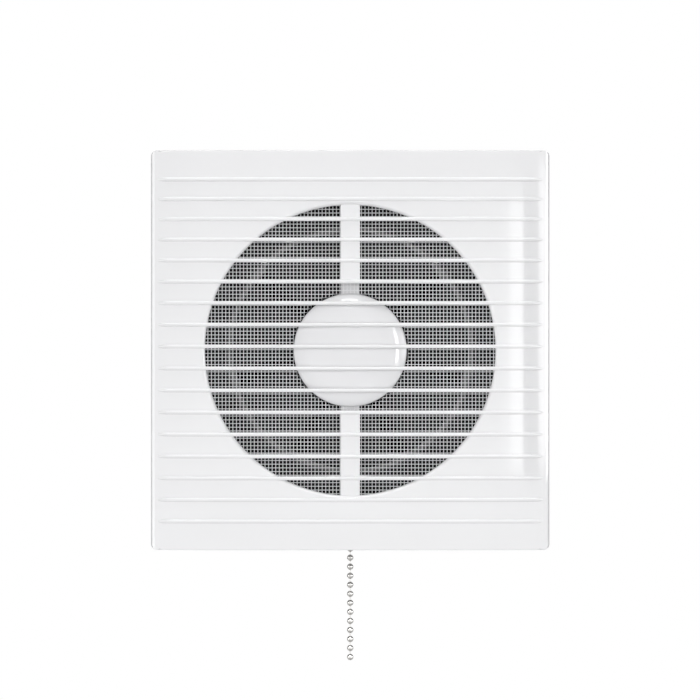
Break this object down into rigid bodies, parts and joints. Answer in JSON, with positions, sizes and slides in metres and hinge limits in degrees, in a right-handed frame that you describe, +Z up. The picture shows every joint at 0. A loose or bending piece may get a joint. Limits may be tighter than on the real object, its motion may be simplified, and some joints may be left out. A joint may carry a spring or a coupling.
{
  "type": "exhaust fan",
  "caption": "Square wall exhaust fan with a ribbed cover, insect net, axial impeller on a small motor, round duct spigot and a bead-chain pull switch.",
  "frame": {"origin": "on the wall plane at the fan's axis, which is also the middle of the four wall screws", "axes": "as one faces the fan, +X to the right, +Z up, +Y back into the wall along the duct"},
  "size_m": [0.15, 0.0822, 0.1933],
  "materials": {
    "cover_plastic": "glossy white moulded plastic",
    "net_plastic": "white moulded plastic net",
    "casing_plastic": "dark graphite moulded plastic, fine grain",
    "screw_steel": "zinc-plated",
    "bracket_steel": "pressed, zinc-plated",
    "core_steel": "stacked laminations, varnished",
    "shaft_steel": "ground",
    "spring_steel": "drawn wire",
    "bearing_bronze": "sintered, oiled",
    "terminal_brass": "bright",
    "coil_enamel": "enamelled copper wire",
    "ring_aluminium": "die-cast",
    "natural_plastic": "natural polyamide, satin",
    "switch_plastic": "black, satin",
    "chain_nickel": "nickel-plated",
    "grommet_rubber": "matt"
  },
  "bodies": {
    "casing": {"motor_cap": "cover_plastic", "cap_screws": "screw_steel", "casing": "casing_plastic", "spigot_sleeve": "casing_plastic", "front_bearing_bracket": "bracket_steel", "rear_bearing_bracket": "bracket_steel", "front_bearing": "bearing_bronze", "rear_bearing": "bearing_bronze", "stator_core": "core_steel", "coil_bobbins": "natural_plastic", "coil_windings": "coil_enamel", "motor_bolts": "screw_steel", "switch_housing": "switch_plastic", "switch_lid": "switch_plastic", "switch_screws": "screw_steel", "switch_spring": "spring_steel", "switch_terminals": "terminal_brass", "chain_bush": "cover_plastic", "terminal_block": "natural_plastic", "terminal_screws": "terminal_brass", "cable_clamp": "cover_plastic", "clamp_screws": "screw_steel", "cable_grommet": "grommet_rubber"},
    "impeller": {"impeller": "casing_plastic", "impeller_nut": "screw_steel", "rotor": "core_steel", "rotor_end_rings": "ring_aluminium", "shaft": "shaft_steel", "thrust_washers": "natural_plastic"},
    "front_panel": {"front_panel": "cover_plastic", "insect_net": "net_plastic", "net_frame": "net_plastic"},
    "switch_slider": {"switch_slider": "natural_plastic", "chain_head_beads": "chain_nickel", "chain_head_links": "chain_nickel"},
    "chain_1": {"chain_bead_1": "chain_nickel", "chain_link_1": "chain_nickel"},
    "chain_2": {"chain_bead_2": "chain_nickel", "chain_link_2": "chain_nickel"},
    "chain_3": {"chain_bead_3": "chain_nickel", "chain_link_3": "chain_nickel"},
    "chain_tail": {"chain_tail_beads": "chain_nickel", "chain_tail_links": "chain_nickel"}
  },
  "joints": [
    {"name": "impeller_spin", "type": "hinge", "parent": "casing", "child": "impeller", "pos_m": [0, 0, 0], "axis": [0, -1, 0], "continuous": true},
    {"name": "cover_pull", "type": "slide", "parent": "casing", "child": "front_panel", "axis": [0, -1, 0], "range_m": [0, 0.04]},
    {"name": "chain_pull", "type": "slide", "parent": "casing", "child": "switch_slider", "axis": [0, 0, -1], "range_m": [0, 0.0055], "stiffness_N_per_m": 500, "springref_m": -0.004, "deforming": ["switch_spring"]},
    {"name": "chain_1_sway", "type": "hinge", "parent": "switch_slider", "child": "chain_1", "pos_m": [0, -0.0085, -0.07523], "axis": [-1, 0, 0], "range_deg": [-4.5, 12]},
    {"name": "chain_2_swing", "type": "hinge", "parent": "chain_1", "child": "chain_2", "pos_m": [0, -0.0085, -0.07868], "axis": [0, -1, 0], "range_deg": [-12, 12]},
    {"name": "chain_3_sway", "type": "hinge", "parent": "chain_2", "child": "chain_3", "pos_m": [0, -0.0085, -0.08213], "axis": [-1, 0, 0], "range_deg": [-4.5, 12]},
    {"name": "chain_tail_swing", "type": "hinge", "parent": "chain_3", "child": "chain_tail", "pos_m": [0, -0.0085, -0.08558], "axis": [0, -1, 0], "range_deg": [-12, 12]}
  ]
}
